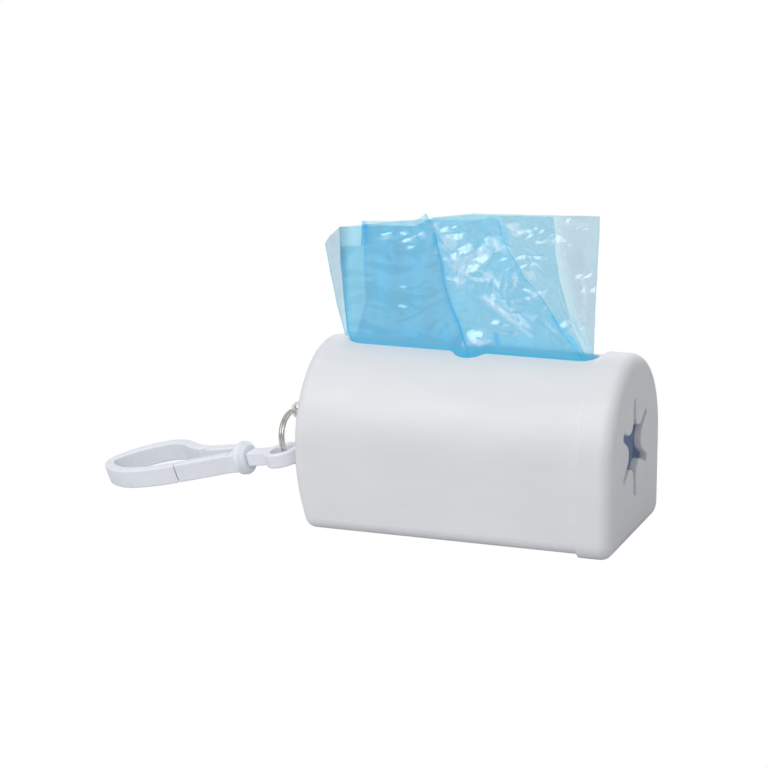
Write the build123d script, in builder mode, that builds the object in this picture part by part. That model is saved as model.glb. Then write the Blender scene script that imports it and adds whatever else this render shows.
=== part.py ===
"""Dog waste bag dispenser: an arch-shaped housing with a push-on end cap, a roll of bags
with one bag drawn up through the top slot, and a swivel snap hook on a split ring.

Millimetres. The origin is the middle of the housing's flat base, +X runs along the
housing to the cap, +Z is up. The cap's rim stands proud of the base, so it reaches
below Z = 0, and the hook lies on the same level as the rim.
"""

from build123d import *
from math import acos, atan2, cos, degrees, pi, radians, sin, sqrt, tan
import os

# ---------------------------------------------------------------- driving dimensions

# housing
housing_half_width = 21.6  # half the outer width, also the radius of the arch
housing_height = 42.6  # flat base to the top of the arch
housing_wall = 2.0
housing_corner = 3.0  # bottom corners along the length
end_x = -40.0  # furthest point of the domed end
end_dome_radius = 62.0  # the closed end is a shallow dome
end_dome_z = 19.8  # height of the dome's middle
end_round = 3.0  # rounding where the dome meets the sides
overshoot = 1.0  # how far a blank runs past the cut that trims it

# end cap
rim_x = 33.4  # where the cap's rim meets the housing's shoulder
cap_length = 8.3  # rim to outer face
cap_proud = 0.9  # the cap stands this far outside the housing
cap_wall = 1.6  # skirt
cap_face_wall = 1.8
cap_corner = 4.2
cap_face_round = 3.2
cap_rim_round = 0.3
cap_fit = 0.05  # gap all round between skirt and spigot
spigot_length = 6.0

# star opening of six petals in the cap's face
petal_count = 6
star_rise = 0.9  # centre of the star above the centre of the arch
star_aside = -1.4  # and toward +Y
star_turn = 4.0  # degrees, from +Y toward +Z
petal_root = 10.5  # centre of the star to the root line of a petal
petal_tip = 5.5  # centre of the star to the tip of a petal
slot_root_gap = 1.9  # between two petals at their roots
slot_mouth_gap = 2.4  # between two petals near their tips
petal_round = 0.35  # outer edges of the petals

# slot in the top that the bags come out of, with a notch for a thumb
mouth_end_inset = 10.4  # domed end to the slot
mouth_rim_inset = 1.4  # slot to the cap's rim
mouth_width = 7.6
mouth_edge_round = 0.4
notch_along = 30.9  # start of the slot to the middle of the notch
notch_depth = 2.8  # past the side of the slot
notch_radius = 4.0
notch_round = 2.0

# lug on the domed end for the split ring
lug_reach = 3.3  # domed end to the middle of the hole
lug_hole_z = 23.3
lug_thickness = 1.4
lug_hole_length = 2.9  # along Z, so that the ring can hang at a slant
lug_hole_width = 2.2
lug_wall = 0.65

# roll of bags on its paper core
roll_radius = 16.4
roll_length = 62.0
roll_end_gap = 3.5  # air between the roll and the petals
roll_rest_gap = 0.3  # under the roll
core_outer = 6.5
core_wall = 0.9
core_fit = 0.05

# bag drawn up through the mouth
film_thickness = 1.0  # several layers of film, folded
film_wave = 1.1  # how far the pleats stand out to each side
film_pleats = 5
film_roll_gap = 0.3  # above the roll
film_slot_gap = 0.8  # beside the ends of the mouth
film_left_reach = 8.6  # how far the bag spreads past the start of the slot
film_left_rise = 22.3  # top of the housing to the bag's left corner
film_shoulder_along = 3.8  # left corner to the shoulder, along X
film_shoulder_rise = 26.8
film_peak_along = 25.9
film_peak_rise = 30.6
film_top_rise = 32.5  # to the highest corner, on the right
film_right_inset = 0.2  # the right edge leans in by this much at its top

# split ring of flat wire, two turns
ring_radius = 6.5  # to the middle of the wire
ring_wire_radial = 0.8
ring_wire_axial = 0.5
ring_turn_gap = 0.45  # air between the two turns
ring_turns = 2
ring_yaw = -16.0  # degrees, of the ring's axis from +X
ring_lift = 8.2
ring_start_angle = -70.0  # degrees up round the ring from its +Y side to the wire's ends
ring_lug_angle = 72.0  # to where it hangs in the lug
ring_eye_angle = 215.3  # to where it holds the swivel eye
ring_samples = 240  # points along the wire at which its gap is measured

# swivel eye and snap hook, along one axis that falls away from the ring
eye_out = 1.3  # wire to the middle of the eye, along the hook's axis
eye_aside = -0.5  # and across it
clip_pitch = 11.7  # degrees below level
clip_yaw = 14.0  # degrees toward +Y
eye_roll = 10.0  # degrees, the +Y side up
hook_roll = 14.5
eye_outer = 4.5
eye_hole = 2.9
eye_thickness = 3.6
neck_width = 3.6
stem_radius = 1.2
stem_head_radius = 1.9
stem_head_length = 1.2
stem_fit = 0.05
stem_end_play = 0.15
neck_overlap = 0.8
neck_round = 1.0  # where the neck leaves the eye
eye_round = 0.5
bore_length = 2.0
collar_start = 10.0  # from the middle of the eye, along the hook's axis
collar_radius = 4.1
collar_thickness = 2.2
collar_chamfer = 1.1
block_length = 2.6  # solid root of the two arms, behind the collar
strip_width = 2.5
strip_height = 4.9
strip_round = 0.5
arm_offset = 2.2  # axis to the middle of the straight arm
arm_straight = 9.0  # collar to where the straight arm bows out
loop_half_width = 7.4
loop_far_peak = 27.0  # collar to the widest place of the bowed arm
loop_near_peak = 30.5  # collar to the widest place of the hook's tip side
loop_length = 42.0  # collar to the end of the loop
loop_end_offset = 1.3  # the end of the loop sits this far toward the gate side
gate_root_inner = 0.95  # axis to the gate's inner face at its root
gate_end = 17.4  # collar to the gate's outer corner at the seam
gate_end_offset = 7.0
seam_gap = 0.25

# ------------------------------------------------------------------- worked-out sizes

arch_z = housing_height - housing_half_width
star_z = arch_z + star_rise
mouth_start_x = end_x + mouth_end_inset
mouth_end_x = rim_x - mouth_rim_inset
notch_x = mouth_start_x + notch_along
cap_face_x = rim_x + cap_length
cap_half_width = housing_half_width + cap_proud
skirt_inner = cap_half_width - cap_wall
spigot_half = skirt_inner - cap_fit
cavity_half = housing_half_width - housing_wall
roll_z = housing_wall + roll_rest_gap + roll_radius
face_inner_x = cap_face_x - cap_face_wall
roll_end_x = face_inner_x - roll_end_gap
hole_middle = Vector(end_x - lug_reach, 0, lug_hole_z)


def arch(x, half_width, corner):
    """Arch section round the housing's centre line, in the YZ plane at x."""
    low = housing_half_width - half_width
    with BuildSketch(Plane.YZ.offset(x)) as section:
        with BuildLine():
            Line((-half_width, arch_z), (-half_width, low))
            Line((-half_width, low), (half_width, low))
            Line((half_width, low), (half_width, arch_z))
            ThreePointArc((half_width, arch_z), (0, arch_z + half_width), (-half_width, arch_z))
        make_face()
        fillet(section.vertices().group_by(Axis.Z)[0], corner)
    return section.sketch


def finish(piece, name):
    """Label a finished piece and write its file."""
    piece.part.label = name
    export_step(piece.part, f"parts/{name}.step")
    print(name, round(piece.part.volume, 1), piece.part.bounding_box())


os.makedirs("parts", exist_ok=True)

# ---------------------------------------------------------------------------- housing

dome_centre = (end_x + end_dome_radius, 0, end_dome_z)
cavity_corner = housing_corner - housing_wall
cavity_length = rim_x + spigot_length + overshoot - end_x
lug_root_x = end_x + housing_wall / 2
lug_length = lug_root_x - hole_middle.X
with BuildPart() as cavity:
    extrude(arch(end_x, cavity_half, cavity_corner), amount=cavity_length)
    with Locations(dome_centre):
        Sphere(end_dome_radius - housing_wall, mode=Mode.INTERSECT)

with BuildPart() as housing:
    blank = arch(end_x - overshoot, housing_half_width, housing_corner)
    extrude(blank, amount=rim_x - end_x + overshoot)
    with Locations(dome_centre):
        Sphere(end_dome_radius, mode=Mode.INTERSECT)
    dome = housing.faces().sort_by(Axis.X)[0]
    fillet(dome.edges(), end_round)
    extrude(arch(rim_x, spigot_half, cap_corner - cap_wall - cap_fit), amount=spigot_length)
    add(cavity.part, mode=Mode.SUBTRACT)
    with BuildSketch(Plane.XY.offset(housing_height)) as mouth:
        with Locations(((mouth_start_x + mouth_end_x) / 2, 0)):
            SlotOverall(mouth_end_x - mouth_start_x, mouth_width)
        with Locations((notch_x, notch_radius - mouth_width / 2 - notch_depth)):
            Circle(notch_radius)
        near_notch = mouth.vertices().sort_by_distance((notch_x, -mouth_width / 2))
        fillet(near_notch[:2], notch_round)
    extrude(amount=arch_z - housing_height, mode=Mode.SUBTRACT)
    outer_arch = housing.faces().filter_by(GeomType.CYLINDER).sort_by(SortBy.RADIUS)[-1]
    fillet(outer_arch.inner_wires()[0].edges(), mouth_edge_round)
    with BuildSketch(Plane.XZ):
        with Locations((hole_middle.X, hole_middle.Z)):
            SlotOverall(lug_hole_length + 2 * lug_wall, lug_hole_width + 2 * lug_wall, rotation=90)
        with Locations((hole_middle.X + lug_length / 2, hole_middle.Z)):
            Rectangle(lug_length, lug_hole_length + 2 * lug_wall)
        with Locations((hole_middle.X, hole_middle.Z)):
            SlotOverall(lug_hole_length, lug_hole_width, rotation=90, mode=Mode.SUBTRACT)
    extrude(amount=lug_thickness / 2, both=True)
finish(housing, "housing")

# ---------------------------------------------------------------------------- end cap

with BuildPart() as end_cap:
    extrude(arch(rim_x, cap_half_width, cap_corner), amount=cap_length)
    fillet(end_cap.faces().sort_by(Axis.X)[-1].edges(), cap_face_round)
    fillet(end_cap.faces().sort_by(Axis.X)[0].edges(), cap_rim_round)
    pocket = arch(rim_x, skirt_inner, cap_corner - cap_wall)
    extrude(pocket, amount=cap_length - cap_face_wall, mode=Mode.SUBTRACT)
    with BuildSketch(Plane.YZ.offset(face_inner_x)):
        with Locations((star_aside, star_z)):
            RegularPolygon(
                petal_root, petal_count, major_radius=False, rotation=180 / petal_count + star_turn
            )
    extrude(amount=cap_face_wall, mode=Mode.SUBTRACT)
finish(end_cap, "end_cap")

# ----------------------------------------------------------------------------- petals

half_turn_share = pi / petal_count
root_half = petal_root * tan(half_turn_share) - slot_root_gap / 2 / cos(half_turn_share)
tip_middle = (petal_tip - slot_mouth_gap / 2) / (1 - sin(half_turn_share))
tip_radius = tip_middle - petal_tip
root_to_middle = petal_root - tip_middle
tangent_angle = atan2(root_half, root_to_middle) + acos(
    tip_radius / sqrt(root_to_middle**2 + root_half**2)
)
tangent_x = tip_middle + tip_radius * cos(tangent_angle)
tangent_y = tip_radius * sin(tangent_angle)

for number in range(petal_count):
    angle = 2 * half_turn_share * number + radians(star_turn)
    petal_plane = Plane(
        origin=(face_inner_x, star_aside, star_z),
        x_dir=(0, cos(angle), sin(angle)),
        z_dir=(1, 0, 0),
    )
    root_middle = petal_plane.from_local_coords(Vector(petal_root, 0, cap_face_wall))
    with BuildPart() as petal:
        with BuildSketch(petal_plane):
            with BuildLine():
                Line((petal_root, -root_half), (petal_root, root_half))
                Line((petal_root, root_half), (tangent_x, tangent_y))
                ThreePointArc((tangent_x, tangent_y), (petal_tip, 0), (tangent_x, -tangent_y))
                Line((tangent_x, -tangent_y), (petal_root, -root_half))
            make_face()
        extrude(amount=cap_face_wall)
        free_edges = petal.faces().sort_by(Axis.X)[-1].edges().sort_by_distance(root_middle)[1:]
        fillet(free_edges, petal_round)
    finish(petal, f"petal_{number + 1}")

# ------------------------------------------------------------------------ roll of bags

roll_plane = Plane.YZ.offset(roll_end_x - roll_length)
with BuildPart() as roll_core:
    with BuildSketch(roll_plane):
        with Locations((0, roll_z)):
            Circle(core_outer)
            Circle(core_outer - core_wall, mode=Mode.SUBTRACT)
    extrude(amount=roll_length)
finish(roll_core, "roll_core")

with BuildPart() as bag_roll:
    with BuildSketch(roll_plane):
        with Locations((0, roll_z)):
            Circle(roll_radius)
            Circle(core_outer + core_fit, mode=Mode.SUBTRACT)
    extrude(amount=roll_length)
finish(bag_roll, "bag_roll")

# ------------------------------------------------------------------------ the next bag

film_low = roll_z + roll_radius + film_roll_gap
film_start_x = mouth_start_x + film_slot_gap
film_end_x = mouth_end_x - film_slot_gap
film_left_x = film_start_x - film_left_reach
film_top = housing_height + film_top_rise
with BuildPart() as lead_bag:
    with BuildSketch(Plane.XY.offset(film_low)):
        with BuildLine() as pleats:
            step = (film_end_x - film_left_x) / (2 * film_pleats)
            bends = [
                (film_left_x + n * step, film_wave * (-1) ** n) for n in range(2 * film_pleats + 1)
            ]
            Spline(bends)
        trace(pleats.line, film_thickness)
    extrude(amount=film_top - film_low)
    with BuildSketch(Plane.XZ):
        with BuildLine():
            Polyline(
                (film_start_x, film_low),
                (film_end_x, film_low),
                (film_end_x - film_right_inset, film_top),
                (film_left_x + film_peak_along, housing_height + film_peak_rise),
                (film_left_x + film_shoulder_along, housing_height + film_shoulder_rise),
                (film_left_x, housing_height + film_left_rise),
                (film_start_x, housing_height),
                close=True,
            )
        make_face()
    extrude(amount=film_wave + film_thickness, both=True, mode=Mode.INTERSECT)
finish(lead_bag, "lead_bag")

# -------------------------------------------------------------------------- split ring

ring_axis = Vector(
    cos(radians(ring_lift)) * cos(radians(ring_yaw)),
    cos(radians(ring_lift)) * sin(radians(ring_yaw)),
    sin(radians(ring_lift)),
)
ring_side = Vector(0, 0, 1).cross(ring_axis).normalized()  # level, toward +Y
ring_up = ring_axis.cross(ring_side)
ring_pitch = ring_wire_axial + ring_turn_gap


def from_ring_middle(angle):
    """From the middle of the ring to its wire, at an angle round it."""
    return (ring_side * cos(radians(angle)) + ring_up * sin(radians(angle))) * ring_radius


def turns_offset(angle):
    """How far along the ring's axis the middle of its turns lies, at an angle round it."""
    turn = (angle - ring_start_angle) / 360 % 1
    return ring_axis * (ring_pitch * (turn - 1 / 2))


ring_middle = hole_middle - from_ring_middle(ring_lug_angle) - turns_offset(ring_lug_angle)
ring_plane = Plane(ring_middle, x_dir=from_ring_middle(ring_start_angle), z_dir=ring_axis)


def ring_point(turn):
    """A point of the wire's middle line, and its direction, at a count of turns."""
    along = 2 * pi * turn
    point = Vector(
        ring_radius * cos(along), ring_radius * sin(along), ring_pitch * (turn - ring_turns / 2)
    )
    direction = Vector(-sin(along), cos(along), ring_pitch / (2 * pi * ring_radius))
    return ring_plane.from_local_coords(point), ring_plane.from_local_coords(
        point + direction.normalized()
    ) - ring_plane.from_local_coords(point)


def arc_middle(start, corner, end):
    """The middle of the arc that is tangent to start-corner and corner-end."""
    chord_middle = (start + end) * 0.5
    rise = corner - chord_middle
    half_chord = (end - start).length / 2
    sagitta = half_chord * tan(atan2(rise.length, half_chord) / 2)
    return chord_middle + rise.normalized() * sagitta


def biarc(turn, turn_share):
    """Two arcs along the helix, each tangent to it at its outer end."""
    start, leave = ring_point(turn)
    end, arrive = ring_point(turn + turn_share)
    span = end - start
    along = span.dot(leave + arrive)
    open_share = 2 * (1 - leave.dot(arrive))
    reach = (sqrt(along**2 + open_share * span.dot(span)) - along) / open_share
    first, second = start + leave * reach, end - arrive * reach
    joint = (first + second) * 0.5
    ThreePointArc(start, arc_middle(start, first, joint), joint)
    ThreePointArc(joint, arc_middle(joint, second, end), end)


with BuildPart() as split_ring:
    with BuildLine() as wire:
        for quarter in range(4 * ring_turns):
            biarc(quarter / 4, 1 / 4)
    wire_start, wire_direction = ring_point(0)
    with BuildSketch(Plane(origin=wire_start, x_dir=ring_plane.x_dir, z_dir=wire_direction)):
        Rectangle(ring_wire_radial, ring_wire_axial)
    sweep(path=wire.line)
finish(split_ring, "split_ring")

samples = [wire.line @ (n / ring_samples) for n in range(ring_samples + 1)]
half_turn = ring_samples // ring_turns // 2
least = min(
    (samples[first] - samples[second]).length
    for first in range(ring_samples + 1)
    for second in range(first + half_turn, ring_samples + 1)
)
print(f"split_ring: least gap of the wire to itself {least - ring_wire_axial:.2f} mm")

# ------------------------------------------------------------- swivel eye and snap hook

clip_along = Vector(
    -cos(radians(clip_pitch)) * cos(radians(clip_yaw)),
    cos(radians(clip_pitch)) * sin(radians(clip_yaw)),
    -sin(radians(clip_pitch)),
)
clip_up = (Vector(0, 0, 1) - clip_along * clip_along.Z).normalized()
clip_side = clip_up.cross(clip_along)  # toward -Y


def rolled_plane(middle, roll):
    """A plane along the hook's axis, rolled so that its -Y side falls."""
    up = clip_up * cos(radians(roll)) + clip_side * sin(radians(roll))
    return Plane(middle, x_dir=clip_along, z_dir=up)


eye_wire = ring_middle + from_ring_middle(ring_eye_angle)
eye_tilted = rolled_plane(eye_wire, eye_roll)
eye_middle = eye_tilted.from_local_coords(Vector(eye_out, eye_aside, 0))
eye_plane = rolled_plane(eye_middle, eye_roll)
collar_middle = eye_middle + clip_along * (collar_start + collar_thickness / 2)
hook_plane = rolled_plane(collar_middle, hook_roll)


def across(distance):
    """A plane square to the hook's axis, at a distance from the middle of the eye."""
    return Plane(eye_middle + clip_along * distance, x_dir=hook_plane.y_dir, z_dir=clip_along)


head_start = collar_start + bore_length + stem_end_play
with BuildPart() as swivel_eye:
    neck_end = collar_start - stem_end_play
    neck_start = eye_outer - neck_overlap
    with BuildSketch(eye_plane) as eye:
        Circle(eye_outer)
        with Locations(((neck_start + neck_end) / 2, 0)):
            Rectangle(neck_end - neck_start, neck_width)
        fillet(eye.vertices().group_by(Axis.X)[0], neck_round)
        Circle(eye_hole, mode=Mode.SUBTRACT)
    extrude(amount=eye_thickness / 2, both=True)
    flats = swivel_eye.faces().filter_by(eye_plane)
    fillet(flats.edges(), eye_round)
    with BuildSketch(across(neck_end)):
        Circle(stem_radius)
    extrude(amount=head_start - neck_end)
    with BuildSketch(across(head_start)):
        Circle(stem_head_radius)
    extrude(amount=stem_head_length)
finish(swivel_eye, "swivel_eye")

collar_half = collar_thickness / 2
block_end = collar_half + block_length
arm_outer = arm_offset + strip_width / 2
pivot = Vector(block_end, gate_root_inner)
gate_corner = Vector(gate_end, gate_end_offset)
seam_normal = (gate_corner - pivot).normalized()
gate_line = (gate_corner - Vector(block_end, gate_root_inner + strip_width)).normalized()
gate_inner_end = pivot + gate_line * (
    (gate_corner - pivot).length / gate_line.dot(seam_normal)
)
seam_middle = (gate_corner + gate_inner_end) * 0.5
gate_run = hook_plane.x_dir * gate_line.X + hook_plane.y_dir * gate_line.Y
seam_angle = degrees(atan2(seam_normal.Y, seam_normal.X))

with BuildPart() as clip_hook:
    with BuildSketch(hook_plane):
        with BuildLine() as bow:
            Line((collar_half, -arm_offset), (arm_straight, -arm_offset))
            Spline(
                (arm_straight, -arm_offset),
                (loop_far_peak, -loop_half_width),
                (loop_length, loop_end_offset),
                (loop_near_peak, loop_half_width),
                seam_middle - gate_line * strip_width,
                tangents=((1, 0), (1, 0), (0, 1), (-1, 0), -gate_line),
            )
        trace(bow.line, strip_width)
        with Locations((collar_half + block_length / 2, 0)):
            Rectangle(block_length, 2 * arm_outer)
        behind_seam = gate_corner + seam_normal * (seam_gap - loop_half_width / 2)
        with Locations(behind_seam):
            Rectangle(loop_half_width, 2 * loop_half_width, rotation=seam_angle, mode=Mode.SUBTRACT)
    extrude(amount=strip_height / 2, both=True)
    fillet(clip_hook.faces().filter_by(hook_plane).edges(), strip_round)
    with BuildSketch(across(collar_start)):
        Circle(collar_radius)
    extrude(amount=collar_thickness)
    chamfer(clip_hook.edges().filter_by(GeomType.CIRCLE).sort_by_distance(eye_middle)[0], collar_chamfer)
    with BuildSketch(across(collar_start)):
        Circle(stem_radius + stem_fit)
    extrude(amount=bore_length, mode=Mode.SUBTRACT)
    with BuildSketch(across(collar_start + bore_length)):
        Circle(stem_head_radius + stem_fit)
    extrude(amount=stem_head_length + 2 * stem_end_play, mode=Mode.SUBTRACT)
finish(clip_hook, "clip_hook")

with BuildPart() as clip_gate:
    with BuildSketch(hook_plane):
        with BuildLine():
            Polyline(
                pivot,
                pivot + Vector(0, strip_width),
                gate_corner,
                gate_inner_end,
                close=True,
            )
        make_face()
    extrude(amount=strip_height / 2, both=True)
    sides = clip_gate.faces().filter_by(hook_plane).edges().filter_by(Axis((0, 0, 0), gate_run))
    fillet(sides, strip_round)
finish(clip_gate, "clip_gate")
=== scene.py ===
"""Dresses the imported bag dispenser: moulded plastic, a steel split ring, the wound roll and
the bag of thin blue film drawn up through the slot. Lengths are metres, +Z is up, and +X
runs along the housing to the end cap."""

import bmesh
import bpy
import math
import random

import numpy as np
from mathutils import Matrix, Vector


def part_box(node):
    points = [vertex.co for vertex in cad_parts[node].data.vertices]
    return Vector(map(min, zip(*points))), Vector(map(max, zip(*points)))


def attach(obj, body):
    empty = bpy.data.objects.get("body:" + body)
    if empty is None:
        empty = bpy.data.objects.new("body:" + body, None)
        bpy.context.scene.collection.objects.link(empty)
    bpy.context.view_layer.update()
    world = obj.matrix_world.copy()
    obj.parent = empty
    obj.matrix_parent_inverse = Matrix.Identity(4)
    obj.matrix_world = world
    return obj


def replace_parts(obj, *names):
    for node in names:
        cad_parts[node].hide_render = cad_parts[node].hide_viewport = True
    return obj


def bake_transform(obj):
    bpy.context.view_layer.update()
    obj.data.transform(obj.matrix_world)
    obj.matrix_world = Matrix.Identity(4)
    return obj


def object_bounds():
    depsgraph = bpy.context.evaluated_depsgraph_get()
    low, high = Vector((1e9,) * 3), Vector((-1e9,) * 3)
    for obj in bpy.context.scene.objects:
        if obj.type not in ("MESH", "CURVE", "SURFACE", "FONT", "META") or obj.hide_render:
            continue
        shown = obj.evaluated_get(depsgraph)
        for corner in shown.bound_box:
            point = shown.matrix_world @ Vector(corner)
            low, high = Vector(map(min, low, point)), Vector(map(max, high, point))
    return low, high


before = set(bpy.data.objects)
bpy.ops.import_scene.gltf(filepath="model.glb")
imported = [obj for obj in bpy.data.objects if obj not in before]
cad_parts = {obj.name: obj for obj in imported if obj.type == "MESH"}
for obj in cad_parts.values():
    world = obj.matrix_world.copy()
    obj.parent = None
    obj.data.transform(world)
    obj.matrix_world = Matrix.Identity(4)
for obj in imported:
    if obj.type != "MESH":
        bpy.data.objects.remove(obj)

bl_info = {
    "name": "Bag dispenser",
    "version": (1, 0, 0),
    "blender": (4, 5, 0),
    "location": "View3D > Sidebar > Dispenser",
    "description": "Finishes a dog waste bag dispenser with its film, ring and plastics",
    "category": "Object",
}

MM = 0.001
CAD_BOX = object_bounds()
HOUSING_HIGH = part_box("housing")[1]
CAP_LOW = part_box("end_cap")[0]
ROLL_LOW, ROLL_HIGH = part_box("bag_roll")


# ------------------------------------------------------------------------- properties


def length(name, description, default):
    """A length in metres that the panel shows."""
    return bpy.props.FloatProperty(
        name=name, description=description, default=default, unit="LENGTH", precision=5
    )


def colour(name, description, default):
    """A colour that the panel shows."""
    return bpy.props.FloatVectorProperty(
        name=name, description=description, default=default, subtype="COLOR", min=0, max=1
    )


class DispenserSizes(bpy.types.PropertyGroup):
    film_gap: length("Film gap", "Air between the front and back of one fold of film", 0.3 * MM)
    film_fold: length("Film fold", "How far in from a fold the two sides come together", 0.35 * MM)
    film_depth: length("Film depth", "How far the film runs down into the slot", 4.4 * MM)
    film_grid: length("Film grid", "Size of the film's faces", 0.35 * MM)
    crease_slope: bpy.props.FloatProperty(
        name="Crease slope", description="How steep the film's crumpled facets are", default=0.17
    )
    ring_wire_radial: length("Ring wire depth", "The ring's wire, across the ring", 0.8 * MM)
    ring_wire_axial: length("Ring wire thickness", "The ring's wire, along its axis", 0.62 * MM)
    ring_pitch: length("Ring pitch", "From one turn of the split ring to the next", 0.66 * MM)


class DispenserColours(bpy.types.PropertyGroup):
    body: colour("Body", "Housing, cap and petals", (0.80, 0.81, 0.83))
    clip: colour("Clip", "Snap hook and swivel eye", (0.87, 0.89, 0.95))
    film: colour("Film", "What one layer of the bag's film lets through", (0.80, 0.943, 0.992))
    film_grey: colour("Film, grey", "The same where the film looks greyer", (0.70, 0.81, 0.868))
    # film_deep also colours the painted glow where the film is drawn into the slot
    film_deep: colour("Film, deep", "The same at its folds and in the slot", (0.36, 0.82, 1.0))
    # veil also colours the film's faint painted glow
    veil: colour("Film veil", "What the film scatters", (0.86, 0.96, 1.0))
    # roll also colours the roll's painted glow
    roll: colour("Roll", "Tightly wound film", (0.165, 0.20, 0.31))
    steel: colour("Steel", "Split ring", (0.80, 0.77, 0.72))
    paper: colour("Paper", "Core of the roll", (0.52, 0.40, 0.27))


def sizes():
    return bpy.context.scene.dispenser_sizes


def colours():
    return bpy.context.scene.dispenser_colours


# -------------------------------------------------------------------------- materials


class Tree:
    """A new material's nodes, with short ways to add and link them."""

    def __init__(self, name):
        self.material = bpy.data.materials.new(name)
        self.material.use_nodes = True
        self.nodes = self.material.node_tree.nodes
        self.links = self.material.node_tree.links
        self.shader = self.nodes["Principled BSDF"]
        self.output = self.nodes["Material Output"]
        self.coordinates = self.nodes.new("ShaderNodeTexCoord").outputs["Object"]

    def add(self, kind, inputs=None, **settings):
        """A new node, with the values or links of its inputs and its own settings."""
        node = self.nodes.new("ShaderNode" + kind)
        for key, value in settings.items():
            setattr(node, key, value)
        for key, value in (inputs or {}).items():
            self.feed(node.inputs[key], value)
        return node

    def feed(self, socket, value):
        """Link a socket to an output, or give it a number, a vector or a colour."""
        if isinstance(value, bpy.types.NodeSocket):
            self.links.new(value, socket)
        elif hasattr(value, "__len__"):
            alpha = (1.0,) if len(socket.default_value) == len(value) + 1 else ()
            socket.default_value = (*value, *alpha)
        else:
            socket.default_value = value

    def finish(self, **values):
        """Set or link inputs of the material's own shader; an underscore stands for a space."""
        for key, value in values.items():
            self.feed(self.shader.inputs[key.replace("_", " ")], value)
        return self.material

    def cover(self, surface):
        """Show a shader of another kind as the material's surface."""
        self.links.new(surface, self.output.inputs["Surface"])
        return self.material

    def noise(self, size, detail=2.0, vector=None, roughness=0.5):
        """Noise whose features are about size across, in the units of its coordinates."""
        inputs = {
            "Vector": vector or self.coordinates,
            "Scale": 1 / size,
            "Detail": detail,
            "Roughness": roughness,
        }
        return self.add("TexNoise", inputs).outputs["Fac"]

    def ramp(self, value, low, high, to_low=0.0, to_high=1.0):
        """value, stretched from the range low to high onto another."""
        inputs = {
            "Value": value,
            "From Min": low,
            "From Max": high,
            "To Min": to_low,
            "To Max": to_high,
        }
        return self.add("MapRange", inputs).outputs["Result"]

    def spread(self, noise, to_low=0.0, to_high=1.0):
        """A noise's usual values, 0.3 to 0.7, stretched onto another range."""
        return self.ramp(noise, 0.3, 0.7, to_low, to_high)

    def combine(self, operation, first, second):
        """Two numbers added, multiplied and so on."""
        return self.add("Math", {0: first, 1: second}, operation=operation).outputs[0]

    def mix(self, share, first, second):
        """Two colours mixed: only the first at a share of 0, only the second at 1."""
        inputs = {"Factor": share, "A": first, "B": second}
        return self.add("Mix", inputs, data_type="RGBA").outputs["Result"]

    def overlay(self, share, first, second):
        """Two shaders mixed in the same way."""
        return self.add("MixShader", {0: share, 1: first, 2: second}).outputs[0]

    def glow(self, rgb, strength):
        """A shader that gives off light of its own."""
        return self.add("Emission", {"Color": rgb, "Strength": strength}).outputs[0]

    def bump(self, height, distance, strength=1.0, normal=None):
        """Relief of a height and distance in metres, on top of another if one is given."""
        inputs = {"Height": height, "Distance": distance, "Strength": strength}
        if normal:
            inputs["Normal"] = normal
        return self.add("Bump", inputs).outputs["Normal"]

    def place(self, scale=(1, 1, 1), shift=(0, 0, 0)):
        """Object coordinates, scaled and then moved by shift."""
        inputs = {"Vector": self.coordinates, "Scale": scale, "Location": shift}
        return self.add("Mapping", inputs).outputs["Vector"]


def shade(rgb, by):
    """A colour made lighter or darker by a factor."""
    return tuple(min(1.0, c * by) for c in rgb)


def moulded_plastic(name, rgb, roughness, grain):
    """Smooth moulded plastic: a fine spark-eroded grain, faint flow marks and a little haze."""
    t = Tree(name)
    flow = t.noise(9 * MM, 3.0, t.place(scale=(0.5, 1.2, 1.2)))
    fine = t.noise(0.22 * MM)
    haze = t.noise(4 * MM, 4.0)
    worn = t.combine("ADD", t.spread(fine, -0.03, 0.03), t.spread(haze, -0.05, 0.06))
    sink = t.bump(t.noise(14 * MM, 1.0), 0.05 * MM, 0.5)
    return t.finish(
        Base_Color=t.mix(t.spread(flow), shade(rgb, 0.975), shade(rgb, 1.02)),
        Roughness=t.combine("ADD", worn, roughness),
        Normal=t.bump(fine, 0.006 * MM, grain, sink),
        IOR=1.5,
    )


def drawn_steel(name, rgb):
    """Bright drawn wire, with fine scratches along it and duller spots where it rubs."""
    t = Tree(name)
    section = t.add("UVMap", uv_map="wire").outputs["UV"]
    drawn = t.add("Mapping", {"Vector": section, "Scale": (6, 220, 1)}).outputs["Vector"]
    scratch = t.noise(1.0, 4.0, drawn)
    rub = t.noise(1.3 * MM, 3.0)
    dull = t.ramp(rub, 0.5, 0.8, 0.0, 0.12)
    return t.finish(
        Base_Color=t.mix(t.ramp(rub, 0.4, 0.7), rgb, shade(rgb, 0.72)),
        Metallic=1.0,
        Roughness=t.combine("ADD", t.spread(scratch, 0.14, 0.26), dull),
        Normal=t.bump(scratch, 0.01 * MM, 0.5),
    )


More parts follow.
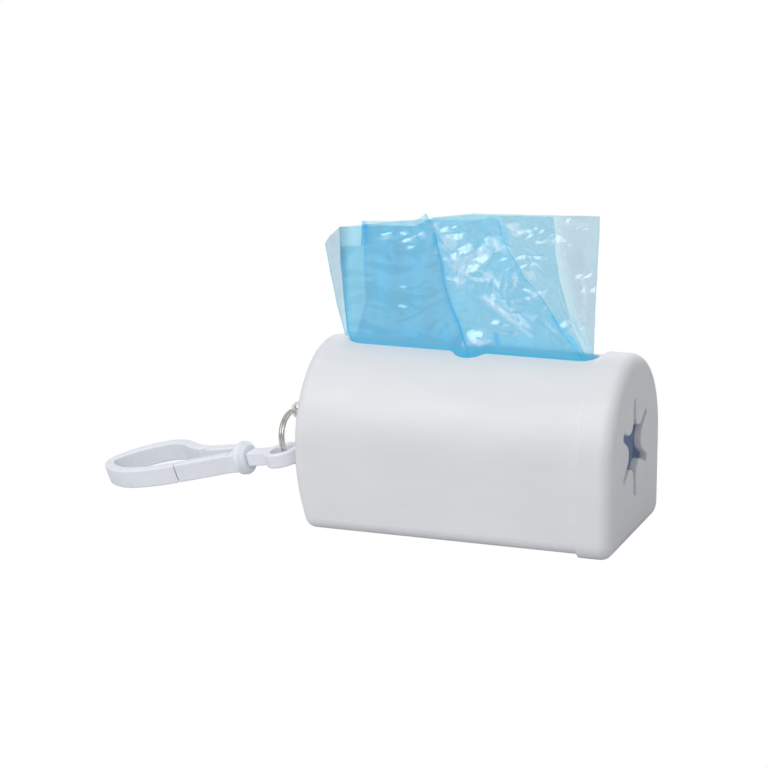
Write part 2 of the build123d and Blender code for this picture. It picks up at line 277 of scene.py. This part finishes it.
def wound_film(name, rgb):
    """The roll: film edges in fine rings on its ends, and soft pulled wrinkles round it."""
    t = Tree(name)
    middle = (ROLL_LOW + ROLL_HIGH) / 2
    centred = t.place(shift=(0, -middle.y, -middle.z))
    wobble = t.noise(5 * MM, 2.0, centred)
    pulled = t.noise(3 * MM, 3.0, t.place(scale=(0.25, 1, 1)))
    ring_inputs = {
        "Vector": centred,
        "Scale": 1 / (2.2 * MM),
        "Distortion": 1.5,
        "Detail": 2.0,
        "Detail Scale": 1.5,
    }
    rings = t.add("TexWave", ring_inputs, wave_type="RINGS", rings_direction="X").outputs["Fac"]
    tint = t.mix(t.ramp(rings, 0.2, 0.8), shade(rgb, 0.7), shade(rgb, 1.3))
    return t.finish(
        Base_Color=t.mix(t.ramp(wobble, 0.4, 0.7, 0.0, 0.5), tint, shade(rgb, 1.6)),
        Roughness=t.spread(pulled, 0.25, 0.45),
        # painted glow: the roll gives off light of its own in its ring colours, standing in for the
        # little light that the white walls let through to it
        Emission_Color=tint,
        Emission_Strength=0.5,
        Normal=t.bump(rings, 0.05 * MM, 0.6, t.bump(pulled, 0.4 * MM, 0.6)),
    )


def core_paper(name, rgb):
    """Grey-brown paper tube: short fibres, in lighter and darker blotches."""
    t = Tree(name)
    fibre = t.noise(0.35 * MM, 4.0, t.place(scale=(1, 0.3, 0.3)))
    blotch = t.noise(3 * MM, 3.0)
    tint = t.mix(t.spread(fibre), shade(rgb, 0.82), shade(rgb, 1.18))
    return t.finish(
        Base_Color=t.mix(t.spread(blotch, 0.0, 0.4), tint, shade(rgb, 1.1)),
        Roughness=t.spread(fibre, 0.8, 0.95),
        Normal=t.bump(fibre, 0.05 * MM, 0.7),
    )


def thin_film(name, tint, grey, deep, veil):
    """Crinkled film: tints what is behind it, scatters a little light and mirrors the lamps.

    The mesh says where it is greyer, where it is a deeper blue and where it carries a painted
    highlight, lighter on slopes and facets that face the lamps. It is also deeper where it turns
    edge-on and where it is drawn into the slot, and there it has a painted glow of its own. Its
    scatter has a faint painted glow as well."""
    t = Tree(name)
    t.nodes.remove(t.shader)
    # pale is a painted highlight, lighter where the film faces the lamps
    greyness, deepness, highlight_paint = (
        t.add("Attribute", attribute_name=tone).outputs["Fac"] for tone in ("grey", "deep", "pale")
    )
    height = t.add("SeparateXYZ", {"Vector": t.coordinates}).outputs["Z"]
    brim = HOUSING_HIGH.z

    # its relief: facets, sharper where it is crumpled, and fine wrinkles all over
    facet_inputs = {"Vector": t.place(scale=(1.0, 1.0, 0.8)), "Scale": 1 / (3.2 * MM)}
    facet = t.add("TexVoronoi", facet_inputs).outputs["Distance"]
    wrinkle = t.noise(1.4 * MM, 3.0, t.place(scale=(1.0, 1.0, 0.7)), roughness=0.6)
    creased = t.bump(facet, 0.5 * MM, t.ramp(highlight_paint, 0.0, 1.0, 0.08, 0.65))
    normal = t.bump(wrinkle, 0.07 * MM, 0.5, creased)

    # what it lets through
    edge_on = t.add("LayerWeight", {"Blend": 0.5}).outputs["Facing"]
    folded = t.combine("MAXIMUM", t.ramp(edge_on, 0.5, 1.0, 0.0, 0.45), deepness)
    low = t.ramp(height, brim + 5.0 * MM, brim, 0.0, 0.12)
    cloud = t.ramp(t.noise(5 * MM, 3.0, t.place(scale=(1.0, 1.0, 0.25))), 0.35, 0.7)
    through = t.mix(greyness, tint, grey)
    through = t.mix(t.combine("MULTIPLY", cloud, 0.5), through, shade(tint, 0.95))
    through = t.mix(t.combine("MAXIMUM", folded, low), through, deep)
    clear = t.add("BsdfTransparent", {"Color": through}).outputs[0]

    # what it scatters, with a faint painted glow of its own in the veil colour, and more of it
    # where the painted highlights are
    lit = t.add("BsdfDiffuse", {"Color": veil, "Normal": normal}).outputs[0]
    lit_behind = t.add("BsdfTranslucent", {"Color": veil, "Normal": normal}).outputs[0]
    both = t.overlay(0.12, lit, lit_behind)
    veil_and_glow = t.add("AddShader", {0: both, 1: t.glow(veil, 0.15)}).outputs[0]
    haze = t.ramp(cloud, 0.0, 1.0, 0.01, 0.04)
    highlight_and_haze = t.combine("ADD", t.combine("MULTIPLY", highlight_paint, 0.38), haze)
    sheet = t.overlay(highlight_and_haze, clear, veil_and_glow)

    # painted glow where its layers are drawn into the slot: deep blue light of its own in place of
    # the light there
    inside = t.ramp(height, brim + 1.8 * MM, brim - 0.8 * MM, 0.0, 0.55)
    slot_glow_colour = t.mix(t.ramp(inside, 0.0, 0.35), deep, tuple(c * c for c in deep))
    sheet = t.overlay(inside, sheet, t.glow(slot_glow_colour, 0.72))

    # what it mirrors, more of it where it turns away
    gloss_inputs = {"Color": (1, 1, 1), "Roughness": 0.11, "Normal": normal}
    mirror = t.add("BsdfGlossy", gloss_inputs).outputs[0]
    tilted = t.add("LayerWeight", {"Blend": 0.5, "Normal": normal}).outputs["Facing"]
    shine = t.ramp(t.combine("POWER", tilted, 3.0), 0.0, 1.0, 0.06, 0.16)
    return t.cover(t.overlay(shine, sheet, mirror))


# -------------------------------------------------------------------------- mesh tools


def as_object(name, bm, material, smooth=True):
    """A scene object made of a bmesh, with one material."""
    mesh = bpy.data.meshes.new(name)
    bm.to_mesh(mesh)
    bm.free()
    for face in mesh.polygons:
        face.use_smooth = smooth
    mesh.materials.append(material)
    piece = bpy.data.objects.new(name, mesh)
    bpy.context.scene.collection.objects.link(piece)
    return piece


def paint(node, material):
    """Give a CAD node another material."""
    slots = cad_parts[node].data.materials
    slots.clear()
    slots.append(material)


def between(value, points):
    """A value read from an outline's few points, which run in order of their first number."""
    return np.interp(value, [p[0] for p in points], [p[1] for p in points])


# ------------------------------------------------------------------------------- stage


class DISPENSER_OT_stage(bpy.types.Operator):
    """Add the pale floor, the studio lights and the camera"""

    bl_idname = "dispenser.stage"
    bl_label = "Stage"

    # how far the floor runs from the middle, in metres
    FLOOR_REACH = 4.0
    # the photograph's viewpoint: its place in metres, how far it looks down and is turned in
    # radians, and its lens and sensor in millimetres
    CAMERA_PLACE = (0.211382, -0.648263, 0.202157)
    CAMERA_DOWN, CAMERA_TURN = 0.2428, 0.3447
    LENS, SENSOR = 138.037, 36.0

    def execute(self, context):
        scene = context.scene
        self.floor()
        self.lights(scene)
        self.camera(scene)
        scene.view_settings.view_transform = "Standard"
        # enough for a ray that passes through every layer of film
        scene.cycles.transparent_max_bounces = 32
        scene.cycles.max_bounces = 10
        return {"FINISHED"}

    def floor(self):
        """A white sheet that runs far past the view."""
        bm = bmesh.new()
        bmesh.ops.create_grid(bm, x_segments=1, y_segments=1, size=self.FLOOR_REACH)
        bmesh.ops.translate(bm, verts=bm.verts, vec=(0, 0, CAP_LOW.z))
        t = Tree("studio_white")
        t.finish(
            Base_Color=t.mix(t.noise(2 * MM), (0.62, 0.62, 0.63), (0.66, 0.66, 0.67)),
            Roughness=0.7,
        )
        # lit grey for the object's reflections and shadows, and white as the camera sees it
        seen = t.add("LightPath").outputs["Is Camera Ray"]
        t.cover(t.overlay(seen, t.shader.outputs[0], t.glow((1, 1, 1), 1.0)))
        as_object("floor", bm, t.material, smooth=False)

    def lights(self, scene):
        """Soft light from all round, white where the camera looks past the floor, and lamps."""
        world = bpy.data.worlds.new("studio")
        world.use_nodes = True
        nodes, links = world.node_tree.nodes, world.node_tree.links
        light = nodes["Background"]
        light.inputs["Color"].default_value = (0.96, 0.98, 1.0, 1)
        light.inputs["Strength"].default_value = 0.45
        seen = nodes.new("ShaderNodeBackground")
        seen.inputs["Color"].default_value = (1, 1, 1, 1)
        seen.inputs["Strength"].default_value = 1.0
        ray = nodes.new("ShaderNodeLightPath")
        choose = nodes.new("ShaderNodeMixShader")
        links.new(ray.outputs["Is Camera Ray"], choose.inputs[0])
        links.new(light.outputs[0], choose.inputs[1])
        links.new(seen.outputs[0], choose.inputs[2])
        links.new(choose.outputs[0], nodes["World Output"].inputs["Surface"])
        scene.world = world
        self.softbox("key", (-0.45, -0.75, 0.70), (0.85, 0.85), 4.6)
        self.softbox("front strip", (0.0, -0.80, 0.75), (1.5, 0.4), 1.6)
        self.softbox("top", (-0.10, 0.10, 0.95), (0.8, 0.8), 1.4)
        self.softbox("back", (-0.10, 0.85, 0.35), (0.7, 0.7), 1.6)

    def softbox(self, name, place, size, watts):
        """A flat lamp that faces the middle of the housing."""
        data = bpy.data.lights.new(name, "AREA")
        data.shape = "RECTANGLE"
        data.size, data.size_y = size
        data.energy = watts
        lamp = bpy.data.objects.new(name, data)
        lamp.location = place
        target = (CAD_BOX[0] + CAD_BOX[1]) / 2
        lamp.rotation_euler = (target - lamp.location).to_track_quat("-Z", "Y").to_euler()
        bpy.context.scene.collection.objects.link(lamp)

    def camera(self, scene):
        """A camera at the photograph's viewpoint."""
        data = bpy.data.cameras.new("camera")
        data.sensor_width = self.SENSOR
        data.lens = self.LENS
        data.clip_start, data.clip_end = 0.01, 20.0
        camera = bpy.data.objects.new("camera", data)
        camera.location = self.CAMERA_PLACE
        camera.rotation_euler = (math.pi / 2 - self.CAMERA_DOWN, 0, self.CAMERA_TURN)
        scene.collection.objects.link(camera)
        scene.camera = camera


# ---------------------------------------------------------------------- moulded plastic


class DISPENSER_OT_body(bpy.types.Operator):
    """Finish the housing, the end cap and its six petals in moulded white plastic"""

    bl_idname = "dispenser.body"
    bl_label = "Housing and cap"

    def execute(self, context):
        plastic = moulded_plastic("moulded_white", colours().body, roughness=0.42, grain=0.6)
        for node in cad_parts:
            if node in ("housing", "end_cap") or node.startswith("petal_"):
                paint(node, plastic)
        return {"FINISHED"}


class DISPENSER_OT_clip(bpy.types.Operator):
    """Finish the swivel eye and the snap hook in a harder, glossier white plastic"""

    bl_idname = "dispenser.clip"
    bl_label = "Snap hook"

    def execute(self, context):
        plastic = moulded_plastic("clip_white", colours().clip, roughness=0.30, grain=0.15)
        for node in ("swivel_eye", "clip_hook", "clip_gate"):
            paint(node, plastic)
        return {"FINISHED"}


class DISPENSER_OT_roll(bpy.types.Operator):
    """Finish the roll of bags and its paper core"""

    bl_idname = "dispenser.roll"
    bl_label = "Roll of bags"

    def execute(self, context):
        paint("bag_roll", wound_film("wound_film", colours().roll))
        paint("roll_core", core_paper("core_paper", colours().paper))
        return {"FINISHED"}


# --------------------------------------------------------------------------- split ring


class DISPENSER_OT_ring(bpy.types.Operator):
    """Make the split ring: two turns of flat wire that lie on each other"""

    bl_idname = "dispenser.ring"
    bl_label = "Split ring"

    # where the ring hangs, the way its axis points and the side that its wire starts on
    MIDDLE = Vector((-42.911, -2.201, 17.196)) * MM
    YAW, LIFT, START = math.radians(-16), math.radians(8.2), math.radians(-70)
    # the middle of the wire, the steps of its spin and the rounding of its corners
    RADIUS, TURNS, STEPS, ROUNDED = 6.5 * MM, 2, 192, 0.1 * MM

    def execute(self, context):
        bm = self.wire()
        bmesh.ops.transform(bm, matrix=self.hung(), verts=bm.verts)
        ring = as_object("split_ring_wire", bm, drawn_steel("drawn_steel", colours().steel))
        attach(ring, "ring")
        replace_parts(ring, "split_ring")
        return {"FINISHED"}

    def wire(self):
        """The wire's rounded section, spun up round +Z."""
        bm = bmesh.new()
        half_x, half_z = sizes().ring_wire_radial / 2, sizes().ring_wire_axial / 2
        low = -sizes().ring_pitch * self.TURNS / 2
        corners = [
            bm.verts.new((self.RADIUS + x, 0, low + z))
            for x, z in ((-half_x, -half_z), (half_x, -half_z), (half_x, half_z), (-half_x, half_z))
        ]
        bm.faces.new(corners)
        bmesh.ops.bevel(
            bm, geom=corners, offset=self.ROUNDED, segments=3, profile=0.5,
            affect="VERTICES", material=-1,
        )
        bmesh.ops.spin(
            bm, geom=bm.faces[:], cent=(0, 0, 0), axis=(0, 0, 1),
            dvec=(0, 0, sizes().ring_pitch * self.TURNS / self.STEPS),
            angle=2 * math.pi * self.TURNS, steps=self.STEPS, use_duplicate=False,
        )
        bmesh.ops.recalc_face_normals(bm, faces=bm.faces)
        self.sort_faces(bm)
        self.unwrap(bm)
        return bm

    def sort_faces(self, bm):
        """Put the faces in the order of their corners, because a spin leaves them in any order."""
        bm.verts.index_update()
        lowest = {face: min(vert.index for vert in face.verts) for face in bm.faces}
        highest = {face: max(vert.index for vert in face.verts) for face in bm.faces}
        bm.faces.sort(key=lambda face: lowest[face] * len(bm.verts) + highest[face])

    def hung(self):
        """The turn and place that hang the ring in the housing's lug."""
        axis = Vector((
            math.cos(self.LIFT) * math.cos(self.YAW),
            math.cos(self.LIFT) * math.sin(self.YAW),
            math.sin(self.LIFT),
        ))
        side = Vector((0, 0, 1)).cross(axis).normalized()
        up = axis.cross(side)
        start = side * math.cos(self.START) + up * math.sin(self.START)
        turn = Matrix((start, axis.cross(start), axis)).transposed()
        return Matrix.Translation(self.MIDDLE) @ turn.to_4x4()

    def unwrap(self, bm):
        """Map the wire by its section alone, so that the scratches run along it."""
        layer = bm.loops.layers.uv.new("wire")
        rise = sizes().ring_pitch / (2 * math.pi)
        for face in bm.faces:
            for loop in face.loops:
                x, y, z = loop.vert.co
                upward = (z - rise * math.atan2(y, x)) / sizes().ring_pitch
                outward = (math.hypot(x, y) - self.RADIUS) / sizes().ring_wire_radial
                loop[layer].uv = (upward, outward)


# --------------------------------------------------------------------------------- film


def grown(value, start, run):
    """0 up to start, then growing to 1 over run."""
    return np.clip((value - start) / run, 0, 1)


def spot(x, z, places):
    """Soft round patches, each a place and a radius in millimetres: 1 in the middle of one."""
    total = np.zeros_like(x)
    for middle_x, middle_z, radius in places:
        away = ((x - middle_x) ** 2 + (z - middle_z) ** 2) / radius**2
        total = np.maximum(total, np.exp(-away))
    return total


def facets(x, z, seed, widths, steepness):
    """Flat facets with sharp crests: waves of straight slopes, each bent by the one before."""
    draw = random.Random(seed)
    total = np.zeros_like(x)
    bend = np.zeros_like(x)
    for width in widths:
        heading = draw.uniform(0, math.pi)
        wander = np.sin(x / 4.7 + draw.uniform(0, 6)) + np.sin(z / 3.9 + draw.uniform(0, 6))
        along = (x * math.cos(heading) + z * math.sin(heading)) / width
        along += draw.random() + 0.45 * bend + 0.2 * wander
        bend = 4 * np.abs(along - np.floor(along) - 0.5) - 1
        total += steepness * width / 4 * bend
    return total


def ridge(x, z, start, end, width, height):
    """A straight crease from a point to a point, with a sharp crest and tapered ends."""
    (x0, z0), (x1, z1) = start, end
    run = math.hypot(x1 - x0, z1 - z0)
    ux, uz = (x1 - x0) / run, (z1 - z0) / run
    along = (x - x0) * ux + (z - z0) * uz
    aside = np.abs((z - z0) * ux - (x - x0) * uz)
    tent = 1 - grown(aside, 0, width)
    taper = np.clip(np.minimum(along, run - along) / (0.35 * run) + 0.3, 0, 1)
    return height * tent * taper


def within(x, z, corners):
    """How far inside a convex outline a point lies, in millimetres; its corners run clockwise."""
    inside = np.full_like(x, np.inf)
    for (x0, z0), (x1, z1) in zip(corners, corners[1:] + corners[:1]):
        run = math.hypot(x1 - x0, z1 - z0)
        inside = np.minimum(inside, ((x - x0) * (z1 - z0) - (z - z0) * (x1 - x0)) / run)
    return inside


class Fold:
    """One flattened tube of film, in millimetres.

    It lies at a depth, counted toward the back, and is a deeper blue in a band along its two
    folds. left and right give its folds as heights and places along the housing, from low to
    high, and top gives its upper edge as places and heights, from left to right."""

    def __init__(self, name, depth, band, left, right, top):
        self.name, self.depth, self.band = name, depth, band
        self.left, self.right, self.top = left, right, top


class DISPENSER_OT_film(bpy.types.Operator):
    """Make the bag that is drawn up through the slot, folded several times over"""

    bl_idname = "dispenser.film"
    bl_label = "Bag film"

    # where the photograph shows the film crumpled, as places and radii in millimetres
    CRUMPLES = [
        (-4, 68, 5), (1, 63, 7), (7, 67, 5), (11, 51, 6), (15, 66, 4), (22, 72, 5), (27, 50, 4),
        (4, 45, 3), (17, 56, 4), (8, 58, 4), (-15, 68, 2), (29, 60, 3), (12, 72, 3),
    ]
    # painted highlights: outlines in millimetres where the film is painted lighter, as if its
    # facets mirrored the lamps
    HIGHLIGHT_OUTLINES = [
        [(-7.2, 69.2), (-4.5, 69.8), (-1.8, 67.8), (-3.2, 65.3), (-5.9, 66.0)],
        [(-5.2, 62.1), (-2.0, 64.6), (1.8, 66.6), (2.6, 62.6), (0.4, 59.4), (-3.4, 60.6)],
        [(1.4, 66.0), (4.3, 69.1), (6.9, 65.8), (4.6, 62.6), (2.2, 62.4)],
        [(3.2, 55.0), (4.4, 56.6), (10.4, 52.6), (17.2, 46.9), (16.6, 45.8), (10.6, 49.6)],
        [(0.4, 44.1), (2.4, 45.5), (6.6, 45.7), (7.0, 44.6), (3.8, 43.1)],
        [(12.2, 64.2), (14.4, 65.4), (19.7, 65.2), (19.6, 64.4), (15.0, 64.3)],
        [(21.6, 58.8), (22.2, 59.4), (28.9, 44.6), (28.1, 43.8)],
        [(9.0, 73.2), (12.0, 73.6), (13.6, 70.2), (11.0, 69.2)],
        [(-9.6, 71.6), (-7.9, 72.6), (-6.4, 70.2), (-7.6, 69.4)],
        [(-4.6, 59.6), (-2.2, 60.2), (0.3, 58.2), (-2.4, 56.8)],
        [(3.0, 61.4), (5.6, 61.9), (7.6, 59.8), (4.6, 58.6)],
        [(13.2, 61.6), (16.2, 62.6), (17.4, 60.0), (15.0, 59.2)],
        [(10.4, 60.6), (12.0, 62.4), (13.0, 59.6), (11.8, 58.0)],
        [(16.8, 57.8), (19.2, 57.4), (20.0, 55.2), (18.2, 55.0)],
        [(26.6, 61.2), (28.6, 62.0), (29.6, 55.6), (28.6, 54.8)],
        [(21.4, 73.6), (25.0, 74.8), (30.4, 73.6), (25.8, 71.8)],
        [(-22.8, 67.2), (-20.2, 68.9), (-18.2, 68.2), (-20.6, 66.8)],
        [(-12.8, 69.3), (-11.0, 70.2), (-9.8, 69.0), (-11.4, 67.9)],
    ]
    # lines where the film is doubled over and so a deeper blue: start, end, width and depth
    DEEP_LINES = [
        ((-26.3, 67.6), (-26.3, 76.0), 0.9, 0.7),
        ((12.4, 65.6), (19.8, 65.3), 0.4, 0.4),
        ((7.5, 47.2), (7.8, 43.2), 0.9, 0.4),
        ((21.0, 51.6), (28.9, 42.6), 0.9, 0.4),
        ((24.5, 53.5), (30.4, 42.8), 0.5, 0.4),
        ((8.0, 72.0), (9.8, 66.6), 0.6, 0.3),
    ]
    # creases: start, end, width and height toward the viewer
    RIDGES = [
        ((3.7, 55.6), (17.0, 46.0), 2.4, 0.8),
        ((-7.0, 69.8), (-2.0, 67.7), 1.5, 0.6),
        ((-5.0, 62.0), (2.0, 66.5), 1.8, 0.8),
        ((2.0, 66.2), (4.5, 68.9), 1.2, -0.6),
        ((4.2, 68.8), (6.8, 65.7), 1.2, 0.7),
        ((6.5, 65.8), (0.5, 59.5), 1.6, 0.6),
        ((0.6, 59.5), (4.5, 58.4), 1.0, 0.6),
        ((12.2, 64.3), (14.5, 65.1), 0.7, 0.5),
        ((14.0, 65.1), (19.6, 64.7), 0.7, 0.6),
        ((8.5, 73.0), (14.5, 66.5), 1.0, 0.5),
        ((21.7, 59.2), (28.4, 43.6), 0.9, 0.7),
        ((24.5, 58.5), (29.2, 43.4), 0.8, -0.5),
        ((28.7, 57.3), (30.0, 43.6), 0.8, 0.6),
        ((17.8, 52.6), (28.0, 42.8), 0.9, -0.6),
        ((-18.5, 56.2), (-14.5, 55.6), 0.5, 0.3),
        ((-22.5, 67.6), (-19.0, 68.6), 0.5, 0.3),
        ((-13.5, 67.8), (-11.0, 69.4), 0.6, 0.35),
        ((-17.0, 51.6), (-14.8, 50.8), 0.5, 0.3),
        ((-12.0, 46.0), (-8.0, 44.6), 0.6, -0.3),
    ]
    # heights and places of the two edges that slant over the bag, right of which it is greyer
    DIAGONAL = [(42, 29.0), (52, 21.4), (60, 14.2), (67, 9.6), (74, 7.4)]
    SEAM = [(43, 29.4), (50, 26.0), (60, 22.6), (67, 21.2), (75, 20.6)]
    # the slot's middle, the half of its straight length and its half width, where its edge
    # starts to round off, and the place, half width and depth of its thumb notch
    SLOT_MIDDLE, SLOT_STRAIGHT, SLOT_HALF, SLOT_ROUNDS = 1.2, 27.0, 3.8, 42.3
    NOTCH_MIDDLE, NOTCH_HALF, NOTCH_DEPTH = 1.3, 3.2, 2.5

    def execute(self, context):
        film = thin_film(
            "thin_blue_film", colours().film, colours().film_grey, colours().film_deep,
            colours().veil,
        )
        for fold in self.folds((HOUSING_HIGH.z - sizes().film_depth) / MM):
            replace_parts(self.tube(fold, film), "lead_bag")
        return {"FINISHED"}

    def folds(self, low):
        """The folds of the bag from back to front, with their outlines."""
        return (
            Fold(
                "film_outer", 1.0, 0.25,
                left=[
                    (low, -29.0), (42.2, -29.4), (43.2, -31.0), (51.3, -33.5), (59.7, -35.5),
                    (64.9, -36.7),
                ],
                right=[(low, 31.2), (42.6, 31.2), (59, 31.2), (75.6, 31.5)],
                top=[
                    (-36.7, 64.9), (-35.5, 66.8), (-32.9, 69.2), (-14, 70.5), (-9.3, 73.0),
                    (0.7, 74.6), (31.5, 75.7),
                ],
            ),
            Fold(
                "film_lining", 0.3, 0.2,
                left=[(low, -27.5), (43.0, -28.0), (52, -25.6), (60, -26.4), (70.4, -26.5)],
                right=[
                    (low, 29.8), (43, 29.4), (50, 26.0), (60, 22.6), (67, 21.2), (75.2, 20.6),
                ],
                top=[(-26.5, 70.3), (-14, 70.6), (-9.1, 73.0), (0.7, 74.4), (20.6, 75.1)],
            ),
            Fold(
                "film_middle", -0.4, 0.4,
                left=[(low, -28.9), (43.2, -29.7), (51.8, -31.0), (60.9, -32.1), (69.5, -32.6)],
                right=[
                    (low, 28.8), (42.4, 28.8), (44.7, 26.9), (48, 23.9), (52, 21.3), (57, 17.6),
                    (60.5, 14.0), (63.9, 12.0), (67.3, 9.5), (70.8, 8.3), (73.9, 7.4),
                ],
                top=[
                    (-32.6, 69.4), (-26.8, 70.3), (-12, 72.6), (-4.5, 72.9), (1.1, 73.1),
                    (5.5, 74.3), (7.4, 73.6),
                ],
            ),
            Fold(
                "film_inner", -1.1, 1.6,
                left=[(low, -28.8), (43.2, -29.6), (64.9, -32.0), (65.3, -26.7), (71.4, -26.6)],
                right=[
                    (low, 1.2), (42.6, 1.2), (44.9, 0.0), (49.1, -1.6), (52.6, -3.4),
                    (57.3, -5.0), (62.1, -6.0), (66.8, -7.5), (70.9, -8.2), (74.1, -10.4),
                ],
                top=[
                    (-26.6, 71.3), (-20.8, 71.7), (-14.5, 72.2), (-12.0, 73.3), (-10.4, 74.2),
                ],
            ),
        )

    def tube(self, fold, film):
        """A grid of film bent round into a flat tube, creased, and open at its top and bottom."""
        low = fold.left[0][0]
        wide = fold.right[-1][1] - fold.left[-1][1]
        tall = max(z for _, z in fold.top) - low
        grid = sizes().film_grid / MM
        bm = bmesh.new()
        bmesh.ops.create_grid(
            bm, x_segments=int(2 * wide / grid), y_segments=int(tall / grid), size=0.5
        )
        # turn runs round the tube from its left fold, first over the front, and rise up it
        place = np.array([v.co for v in bm.verts])
        turn, rise = place[:, 0] + 0.5, place[:, 1] + 0.5
        front = turn <= 0.5
        across = np.where(front, 2 * turn, 2 - 2 * turn)
        z = low + rise * (between(fold.left[-1][1] + across * wide, fold.top) - low)
        left, right = between(z, fold.left), between(z, fold.right)
        x = left + (right - left) * across
        from_edge = np.minimum(x - left, right - x)
        open_share = np.sqrt(grown(from_edge, 0, sizes().film_fold / MM))
        apart = np.where(front, -1.0, 1.0) * open_share * sizes().film_gap / MM / 2
        y = np.maximum(fold.depth + apart - self.pushed(x, z), self.slot_edge(x, z))
        for vert, point in zip(bm.verts, np.stack([x, y, z], axis=1) * MM):
            vert.co = point
        seam = [v for v, t in zip(bm.verts, turn) if t < 1e-6 or t > 1 - 1e-6]
        bmesh.ops.remove_doubles(bm, verts=seam, dist=0.01 * MM)
        piece = as_object(fold.name, bm, film)
        self.tone(piece.data, fold)
        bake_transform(piece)
        return piece

    def pushed(self, x, z):
        """How far the film stands toward the viewer, in millimetres: bows, facets and creases."""
        loose = np.maximum(grown(z, HOUSING_HIGH.z / MM, 6), 0.1)
        crumpled = 0.05 + 0.95 * spot(x, z, self.CRUMPLES)
        broad = facets(x, z, 5, (17, 13, 11), 0.025)
        fine = facets(x, z, 8, (9.0, 6.5, 4.6, 3.0), sizes().crease_slope) * crumpled
        creases = sum(ridge(x, z, *line) for line in self.RIDGES)
        # low down it lies against the slot's near edge, and is pressed into the thumb notch
        leaning = 2.0 * (1 - grown(z, 42, 30))
        bow = 0.5 * np.sin(x / 9.0 + 1.0) * grown(z, 41, 30)
        notch_x = self.NOTCH_MIDDLE + 0.5 * np.clip(z - 42, 0, 5)
        notch = 1.2 * np.exp(-(((x - notch_x) / 3.6) ** 2)) * (1 - grown(z, 43.3, 4.5))
        return (broad + fine + creases) * loose + bow + leaning + notch

    def slot_edge(self, x, z):
        """How far toward the viewer the film may stand before it would cut the slot's edge."""
        past_straight = np.abs(x - self.SLOT_MIDDLE) - self.SLOT_STRAIGHT
        half_wide = np.sqrt(self.SLOT_HALF**2 - np.clip(past_straight, 0, self.SLOT_HALF) ** 2)
        notch = self.NOTCH_DEPTH * np.exp(-(((x - self.NOTCH_MIDDLE) / self.NOTCH_HALF) ** 2))
        clearance, opening = 0.35, 1.5
        return clearance - half_wide - notch - opening * np.clip(z - self.SLOT_ROUNDS, 0, 10)

    def tone(self, mesh, fold):
        """Where the film is greyer, off its folded middle, deeper at its folds and creases, and
        painted lighter as a painted highlight where it faces the lamps.
        """
        place = np.empty(3 * len(mesh.vertices))
        mesh.vertices.foreach_get("co", place)
        x, _, z = place.reshape(-1, 3).T / MM
        right = np.minimum(grown(x, between(z, self.DIAGONAL), 1.5), 0.25)
        right += np.minimum(grown(x, between(z, self.SEAM), 3.0), 0.75)
        left = grown(-x, 30, 2.5)
        from_fold = np.minimum(x - between(z, fold.left), between(z, fold.right) - x)
        beside_fold = (1 - grown(from_fold, 0, fold.band)) * 0.5
        lines = sum(ridge(x, z, *line) for line in self.DEEP_LINES)
        # painted highlight, the pale attribute: slopes of its relief toward the lamps are painted
        # lighter, mostly on its crumples, and so is the inside of each listed outline
        step = 0.15
        uphill = (self.pushed(x, z - step) - self.pushed(x, z + step)) / (2 * step)
        leftward = (self.pushed(x + step, z) - self.pushed(x - step, z)) / (2 * step)
        lit = np.clip(3.2 * uphill + 1.5 * leftward - 0.1, 0, 1)
        crumpled = 0.015 + 0.8 * spot(x, z, self.CRUMPLES)
        # painted highlight: inside the listed outlines the film is painted lighter
        facet_highlight_paint = grown(np.maximum.reduce([within(x, z, c) for c in self.HIGHLIGHT_OUTLINES]), 0, 0.7)
        tones = {
            "grey": np.maximum(right, left),
            "deep": np.clip(np.maximum(beside_fold, lines), 0, 1),
            "pale": np.maximum(lit * crumpled, facet_highlight_paint * (0.7 + 0.3 * lit)),
        }
        for name, values in tones.items():
            mesh.attributes.new(name, "FLOAT", "POINT").data.foreach_set("value", values)


# -------------------------------------------------------------------------------- panel


OPERATORS = (
    DISPENSER_OT_stage,
    DISPENSER_OT_body,
    DISPENSER_OT_clip,
    DISPENSER_OT_roll,
    DISPENSER_OT_ring,
    DISPENSER_OT_film,
)


class DISPENSER_PT_panel(bpy.types.Panel):
    """Lists the steps and the sizes and colours that they use"""

    bl_label = "Bag dispenser"
    bl_idname = "DISPENSER_PT_panel"
    bl_space_type = "VIEW_3D"
    bl_region_type = "UI"
    bl_category = "Dispenser"

    def draw(self, context):
        for operator in OPERATORS:
            self.layout.operator(operator.bl_idname)
        for group in (context.scene.dispenser_sizes, context.scene.dispenser_colours):
            for name in type(group).__annotations__:
                self.layout.prop(group, name)


CLASSES = (DispenserSizes, DispenserColours, *OPERATORS, DISPENSER_PT_panel)


def register():
    for cls in CLASSES:
        bpy.utils.register_class(cls)
    bpy.types.Scene.dispenser_sizes = bpy.props.PointerProperty(type=DispenserSizes)
    bpy.types.Scene.dispenser_colours = bpy.props.PointerProperty(type=DispenserColours)


def unregister():
    del bpy.types.Scene.dispenser_colours
    del bpy.types.Scene.dispenser_sizes
    for cls in reversed(CLASSES):
        bpy.utils.unregister_class(cls)


def main():
    register()
    bpy.ops.dispenser.stage()
    bpy.ops.dispenser.body()
    bpy.ops.dispenser.clip()
    bpy.ops.dispenser.roll()
    bpy.ops.dispenser.ring()
    bpy.ops.dispenser.film()


if __name__ == "__main__":
    main()
